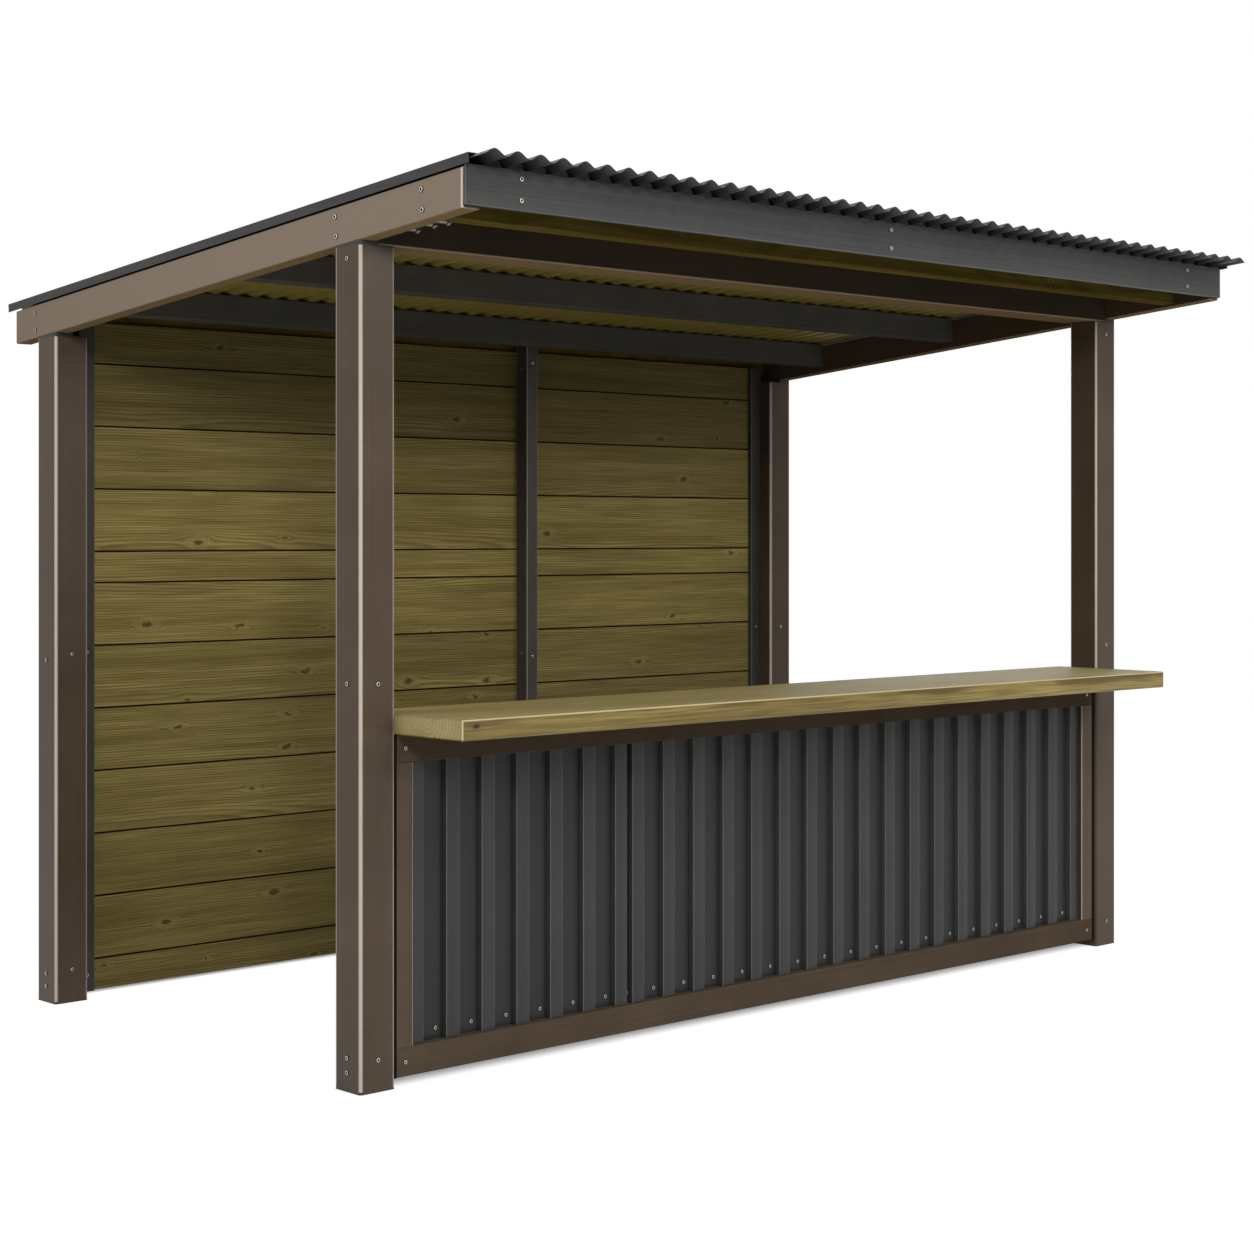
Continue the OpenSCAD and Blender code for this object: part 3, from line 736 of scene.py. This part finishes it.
def turnedAbout(reach, height, isHexagon, sides):
    # A profile turned about Z. Where it is a hexagon the radius is reach / cos(angle to the nearest flat).
    angle = np.linspace(0, 2 * math.pi, sides, endpoint=False)
    flat = np.cos((angle + math.pi / 6) % (math.pi / 3) - math.pi / 6)
    radius = np.where(isHexagon[:, None], reach[:, None] / flat, reach[:, None])
    return pointsOf(radius * np.cos(angle), radius * np.sin(angle), height[:, None])


def headPoints(radius):
    # The profile runs from the socket's floor over its rim, across a flat ring and down to the seat
    socket, floor, sides = buttonHead["socket"], 1 - buttonHead["socketDepth"], buttonHead["sides"]
    reach = np.array([0.02, socket, socket, socket * 1.15, 0.84, 0.96, 1.0, 1.0]) * radius
    height = np.array([floor, floor, 0.95, 1.0, 1.0, 0.85, 0.6, 0.0]) * buttonHead["height"] * radius
    dark = np.array([1, 1, 1, 0, 0, 0, 0.7, 1.0])  # painted shade in the socket and round the seat
    return turnedAbout(reach, height, np.arange(len(reach)) < 3, sides), np.repeat(dark, sides)


def turnedPieces(name, profile, places, facing):
    # Every copy is the same turned shape, its axis laid along facing and set at each place
    shape, shadeShare = profile
    axis = unit(np.array(facing))
    side = unit(np.cross(axis, [0.31, 0.17, 0.93]))  # along no axis, so that the sockets lie askew
    turned = shape @ np.stack([side, np.cross(axis, side), axis])
    solids = [carried(turned + place) for place in np.reshape(places, (-1, 3))]
    piece = addPiece(name, solids, screwZinc, smoothUnder=35)
    # The share of painted shade at each point
    keepOn(piece, "shadeShare", np.tile(shadeShare, len(solids)))


def screws(name, places, facing, radius):
    turnedPieces(name, headPoints(radius), places, facing)


towardsFront = (0, -1, 0)
frameScrews = {
    "rafterRadius": 8 * mm, "postRadius": 6.8 * mm, "smallRadius": 6.4 * mm, "fasciaRadius": 7.2 * mm,
    "pairSpread": 55 * mm,
    "crossings": {"front_purlin": -8, "front_beam": 39, "back_purlin": 8},  # mm behind their middles
    "postHeights": (54, 95, 1137, 2322),  # on the outer faces
    "frontHeights": (90, 1136),  # on the front faces
    "backRise": 20 * mm, "topDrop": 45 * mm,
    "fasciaPlaces": (193, 1703, 3327), "fasciaHeights": (2504, 2446),
}


def allFrameScrews():
    # Pairs through the rafters into the front purlin, the front beam and the back purlin
    y = np.array([middleOf(node)[1] + behind * mm for node, behind in frameScrews["crossings"].items()])
    along = downSlope(y, roof["rafterDepth"] / 2)[:, None]
    above = (roof["rafterDepth"] + np.array([-1, 1]) * frameScrews["pairSpread"]) / 2
    bothSides = ((leftSide, -1, "left"), (rightSide, 1, "right"))
    for side, facing, name in bothSides:
        places = onSlope(side, along, above)
        screws(name + "RafterScrews", places, (facing, 0, 0), frameScrews["rafterRadius"])
    heights = np.array(frameScrews["postHeights"]) * mm
    backPostFront = boxOf("back_left_post")[0][1]
    y = np.repeat([postFront, backPostFront], [len(heights), len(heights) - 1]) + postWidth / 2
    z = np.append(heights, heights[:-1])  # the back posts have no top screw
    for side, facing, name in bothSides:
        screws(name + "PostScrews", pointsOf(side, y, z), (facing, 0, 0), frameScrews["postRadius"])
    front = np.array(frameScrews["frontHeights"]) * mm
    back = front + frameScrews["backRise"]
    top = boxOf("front_left_post")[1][2] - frameScrews["topDrop"]
    posts = np.array([leftSide + postWidth / 2, rightSide - postWidth / 2])[:, None]
    x = leftSide + np.array(frameScrews["fasciaPlaces"])[:, None] * mm
    fasciaHeights = np.array(frameScrews["fasciaHeights"]) * mm
    for name, places, size in (
            ("frontPostScrews", pointsOf(posts, postFront, front), "postRadius"),
            ("frontPostTopScrews", pointsOf(posts[1:], postFront, top), "smallRadius"),
            ("backPostScrews", pointsOf(posts, backPostFront, back), "smallRadius"),
            ("fasciaScrews", pointsOf(x, boxOf("front_fascia")[0][1], fasciaHeights), "fasciaRadius")):
        screws(name, places, towardsFront, frameScrews[size])


# Bolt ends with nuts, inside the left rafter where the roof reaches out over the front

boltEnds = {
    "nut": 10 * mm, "nutTall": 9 * mm, "nutStart": 45 * mm, "shank": 6 * mm, "reach": 60 * mm,
    "point": 1.5 * mm, "sides": 12, "boltShade": 0.45,
    "along": (-254, -192, -117), "above": (10 * mm, 14 * mm, 14 * mm),
}
rafterPlate = {"depths": (2.5, 4), "inset": 1 * mm}  # its faces behind the rafter's end, and inside the tube


def boltPoints():
    # A round shank with a hexagon nut, turned about Z
    nut, shank, start, reach = (boltEnds[size] for size in ("nut", "shank", "nutStart", "reach"))
    nutEnd = start + boltEnds["nutTall"]
    radius = np.array([shank, shank, nut * 0.9, nut * 0.9, shank, shank, shank * 0.75])
    height = np.array([0, start, start, nutEnd, nutEnd, reach - boltEnds["point"], reach])
    isNut = radius > shank
    sides = boltEnds["sides"]
    # The whole bolt is darkened by painted shade
    return turnedAbout(radius, height, isNut, sides), np.full(len(radius) * sides, boltEnds["boltShade"])


def rafterBolts():
    along = np.array(boltEnds["along"]) * mm
    places = onSlope(leftSide + roof["rafterWidth"], along, np.array(boltEnds["above"]))
    turnedPieces("leftRafterBolts", boltPoints(), places, (1, 0, 0))
    plates = []
    inset = rafterPlate["inset"]
    rise = np.repeat([inset, roof["rafterDepth"] - inset], 2)
    for node in ("left_rafter", "right_rafter"):
        # A plate that closes the rafter's front end, just inside the tube
        low, high = boxOf(node)
        front = onSlope(0, downSlope(low[1] + np.array(rafterPlate["depths"]) * mm, 0), 0)
        x = np.array([low[0] + inset, high[0] - inset])[[0, 1, 1, 0]]
        plates.append(carried(pointsOf(x, front[:, None, 1], front[:, None, 2] + rise)))
    addPiece("rafterPlates", plates, blackUpright)


panelFixings = {
    "railInset": 45 * mm, "railRadius": 6.2 * mm,
    "claddingRise": 31 * mm, "claddingRadius": 6.3 * mm,
    "inValley": 0.72, "inLap": 0.6,  # shares of the widths, in the parts that show
    "sideStudHeights": (70, 1157), "studRadius": 6 * mm,
    "middleSideHeights": (1089, 2205), "sideRadius": 5.5 * mm,
    "middleFrontHeights": (80, 1077, 2225),
}


def panelScrews():
    rail, stud, midStud, clad = (
        boxOf(node)[0] for node in ("bottom_rail", "left_wall_stud", "middle_wall_stud", "left_cladding"))
    inset = panelFixings["railInset"]
    ends = np.array([rail[0] + inset, boxOf("bottom_rail")[1][0] - inset])[:, None]
    heights = np.array([middleOf("bottom_rail")[2], middleOf("top_rail")[2]])
    valleyFace, low = clad[1] + ribHeight, clad[2] + panelFixings["claddingRise"]
    valleys = np.append(valleyStart + valleyWidth * panelFixings["inValley"],
                        lapStart + cladding["lapWidth"] * panelFixings["inLap"])
    studX = np.array([1, -1])[:, None] * middleOf("left_wall_stud")[0]
    middle = middleOf("middle_wall_stud")
    sideHeights, midSide, midFront = (
        np.array(panelFixings[part + "Heights"]) * mm for part in ("sideStud", "middleSide", "middleFront"))
    for name, places, facing, size in (
            ("railScrews", pointsOf(ends, rail[1], heights), towardsFront, "railRadius"),
            ("claddingScrews", pointsOf(valleys, valleyFace, low), towardsFront, "claddingRadius"),
            ("sideStudScrews", pointsOf(studX, stud[1], sideHeights), towardsFront, "studRadius"),
            ("middleStudSideScrews", pointsOf(midStud[0], middle[1], midSide), (-1, 0, 0), "sideRadius"),
            ("middleStudScrews", pointsOf(middle[0], midStud[1], midFront), towardsFront, "studRadius")):
        screws(name, places, facing, panelFixings[size])


roofFixings = {"radius": 7 * mm, "firstWave": 2, "everyWaves": 3, "edgeClear": 90 * mm}


def roofScrews():
    # Screws on every third crest along each purlin
    pitch = roofSheets["pitch"]
    first = sheetsLow[0] + roofSheets["firstCrest"] + roofFixings["firstWave"] * pitch
    crest = np.arange(first, sheetsHigh[0] - roofFixings["edgeClear"], roofFixings["everyWaves"] * pitch)
    top = sheetBed + roofSheets["depth"] + roofSheets["metal"]
    purlins = ("front_purlin", "middle_purlin", "rear_purlin", "back_purlin")
    along = downSlope(np.array([middleOf(node)[1] for node in purlins]), roof["rafterDepth"])
    facing = onSlope(0.0, 0.0, 1.0) - onSlope(0.0, 0.0, 0.0)
    screws("roofScrews", onSlope(crest[:, None], along, top), facing, roofFixings["radius"])


allFrameScrews()
rafterBolts()
panelScrews()
roofScrews()
print("fixings made")


# Shadow strips: thin black strips in the joint between the bar front and the posts, standing in for the
# shadow there

shadowStrips = {"leftWidth": 15 * mm, "rightWidth": 11 * mm, "proud": 0.3 * mm, "deep": 4 * mm}


def panelShadowStrips():
    # Each is a rectangle in X and Y carried up Z
    front, bottom = boxOf("bottom_rail")[0][1:]
    y = np.repeat([front - shadowStrips["proud"], front + shadowStrips["deep"]], 2)
    z = np.array([[bottom], [boxOf("top_rail")[1][2]]])
    strips = []
    for side, width in ((-1, shadowStrips["leftWidth"]), (1, shadowStrips["rightWidth"])):
        post = side * (rightSide - postWidth)
        x = np.sort([post, post - side * width])[[0, 1, 1, 0]]
        strips.append(carried(pointsOf(x, y, z)))
    addPiece("panelShadowStrips", strips, shadowStripBlack)


panelShadowStrips()
print("seals made")


# The CAD pieces that stay get their paint or timber

# Painted highlights along the edges of the kept pieces: their reach and strength, none on the rails
postHighlight = dict(reach=9 * mm, strength=0.85, right=0.45, paint=bronzePaint, drawn="z")
highlitEdges = {
    "front_right_post": dict(postHighlight, reach=7.5 * mm, above=boxOf("counter_top")[0][2]),
    "_post": postHighlight,
    "_stile": dict(reach=4.2 * mm, strength=0.5, paint=bronzePaint, drawn="z"),
    "_rail": dict(reach=4.2 * mm, strength=0.0, paint=railPaint, drawn="x"),
    "_beam": dict(reach=5 * mm, strength=0.3, paint=shadedBeamPaint, drawn="x"),
    "middle_wall_stud": dict(reach=4 * mm, strength=0.6, paint=studPaint, drawn="z"),
    "_stud": dict(reach=4 * mm, strength=0.2, paint=blackPaint, drawn="z"),
}


def ownPaint(nodeName):
    # Posts, stiles, rails, studs and the beam each get a painted highlight along their own edges
    edgeLight = next(edgeLight for ending, edgeLight in highlitEdges.items() if nodeName.endswith(ending))
    beyond = np.array([axis == edgeLight["drawn"] for axis in "xyz"]) * 1.0  # the cut ends lie out of reach
    low, high = boxOf(nodeName)
    edges = dict(edgeLight, low=low - beyond, high=high + beyond)
    return coatedSteel(edgeLight["paint"]["coat"] + "." + nodeName, edgeLight["paint"], edgeLight["drawn"], edges)


plainPaint = {
    "_rafter": bronzeRaking, "_rafter_cap": bronzeRaking, "_foot": bronzeUpright, "_seat": blackUpright,
    "front_purlin": framePine, "back_purlin": framePine, "_purlin": greyLevel,
}
for nodeName, node in nodes.items():
    plain = (paint for ending, paint in plainPaint.items() if nodeName.endswith(ending))
    paint = next(plain, anthraciteRaking)
    if nodeName.endswith(tuple(highlitEdges)):
        paint = ownPaint(nodeName)
    node.data.materials.clear()
    node.data.materials.append(paint)
print("paint put on the carried pieces")


# Floor, light and camera

stage = {
    "floorHalf": 30.0, "glow": 0.95, "shade": "#7C7C7C", "contactReach": 9 * mm, "worldLight": 0.25,
    # The light that the floor gives back is duller under the roof: it fades along X and behind the posts
    "bounce": "#D4D4D2", "bounceInside": "#4A4A49", "insideAcross": (-1.0, 1.2), "insideDepth": 0.5,
    "shadeEnds": 40 * mm,
}
# How the floor darkens under and behind a front face: its strength, and where it sets in and dies out
underShade = {
    "bottom_rail": {"strength": 0.8, "run": (-30 * mm, 115 * mm, 150 * mm, 260 * mm)},
    "left_wall_boards": {"strength": 0.8, "run": (0.0, 65 * mm, 100 * mm, 180 * mm)},
}


def whiteFloor():
    # White to the camera and in gloss, darkened at the feet and in the shade under and behind the bar front.
    # It also takes the lamps' shadow, and gives a pale grey light back.
    material, add = newMaterial("paleFloor")
    x, y = add("SeparateXYZ", add("TexCoord", out="Object")).node.outputs[:2]
    postInside = rightSide - postWidth
    ends = postInside, postInside + stage["shadeEnds"]
    between = add("MapRange SMOOTHSTEP", add("Math ABSOLUTE", x), *ends, 1.0, 0.0)
    rays = add("LightPath").node.outputs
    seen = add("Math MAXIMUM", rays["Is Camera Ray"], rays["Is Glossy Ray"])
    power = add("Math MULTIPLY", seen, stage["glow"])
    for node, shadow in underShade.items():
        run = boxOf(node)[0][1] + np.array(shadow["run"])
        setsIn = add("MapRange SMOOTHSTEP", y, *run[:2], 0.0, shadow["strength"])
        shaded = add("Math MULTIPLY", setsIn, add("MapRange SMOOTHSTEP", y, *run[2:], 1.0, 0.0))
        power = add("Math MULTIPLY", power, add("Math SUBTRACT", 1.0, add("Math MULTIPLY", shaded, between)))
    contact = add("AmbientOcclusion", {"Distance": stage["contactReach"]}, out="Color", samples=8)
    glow = add("Emission", {"Color": contact, "Strength": power})
    inside = add("Math MULTIPLY", add("MapRange SMOOTHSTEP", x, *stage["insideAcross"]),
                 add("MapRange SMOOTHSTEP", y, postFront, postFront + stage["insideDepth"]))
    bounce = add("Mix RGBA", inside, stage["bounce"], stage["bounceInside"])
    shade = add("Mix RGBA", rays["Is Camera Ray"], bounce, stage["shade"])
    add("OutputMaterial", add("AddShader", add("BsdfDiffuse", shade), glow))
    corners = np.array([(-1, -1, 0), (1, -1, 0), (1, 1, 0), (-1, 1, 0)]) * stage["floorHalf"]
    mesh = bpy.data.meshes.new("floor")
    mesh.from_pydata(corners.tolist(), [], [(0, 1, 2, 3)])
    mesh.materials.append(material)
    addObject("floor", mesh)


def paleWorld():
    # White where the camera, a gloss or glass looks, and a softer grey as light
    world = bpy.data.worlds.new("paleRoom")
    bpy.context.scene.world = world
    world.use_nodes = True
    world.node_tree.nodes.clear()
    add = partial(addNode, world.node_tree)
    rays = add("LightPath").node.outputs
    seen = add("Math MAXIMUM", rays["Is Camera Ray"], rays["Is Glossy Ray"])
    seen = add("Math MAXIMUM", seen, rays["Is Transmission Ray"])
    power = add("MapRange", seen, 0.0, 1.0, stage["worldLight"], 1.0)
    add("OutputWorld", add("Background", {"Color": "#FFFFFF", "Strength": power}))


lamps = {  # where each stands, where it aims, its size and its watts
    "keySoftbox": ((-5.3, -6.3, 4.2), (-0.6, 0.2, 1.2), (1.2, 1.2), 220),
    "frontSoftbox": ((2.0, -8.0, 3.7), (0.2, 0.0, 1.3), (2.5, 1.0), 165),
    "highSoftbox": ((0.5, -6.0, 6.5), (0.0, -0.5, 1.0), (2.0, 2.0), 190),
    "leftSoftbox": ((-6.2, 0.5, 3.7), (-1.0, 0.0, 1.6), (2.0, 2.0), 100),
    "backSoftbox": ((4.6, 6.4, 4.0), (0.3, 1.0, 1.2), (3.0, 2.0), 230),
    "overhead": ((0.5, -1.0, 7.0), (0.0, 0.0, 2.4), (4.0, 4.0), 50),
}


def addLamps():
    for name, (place, aim, size, watts) in lamps.items():
        light = bpy.data.lights.new(name, "AREA")
        light.shape = "RECTANGLE"
        light.size, light.size_y = size
        light.energy = watts
        holder = addObject(name, light)
        towards = np.subtract(aim, place)
        yaw = math.atan2(towards[1], towards[0]) - math.pi / 2
        tilt = math.pi / 2 + math.atan2(towards[2], np.hypot(towards[0], towards[1]))
        holder.location = place
        holder.rotation_euler = (tilt, 0, yaw)


# The camera stands level and is shifted, so that uprights stay upright as in the photograph
cameraView = {
    "place": (-5.577, -5.9041, 1.552), "turn": 42.717,
    "lens": 66.35, "sensor": 36.0, "shift": (0.0049, -0.0735),
}


def addCamera():
    data = bpy.data.cameras.new("photoCamera")
    data.sensor_width, data.lens = cameraView["sensor"], cameraView["lens"]
    data.shift_x, data.shift_y = cameraView["shift"]
    camera = addObject("photoCamera", data)
    camera.location = cameraView["place"]
    camera.rotation_euler = (math.pi / 2, 0, -math.radians(cameraView["turn"]))
    bpy.context.scene.camera = camera


whiteFloor()
paleWorld()
addLamps()
addCamera()
bpy.context.scene.view_settings.view_transform = "Standard"
print("floor, light and camera set")
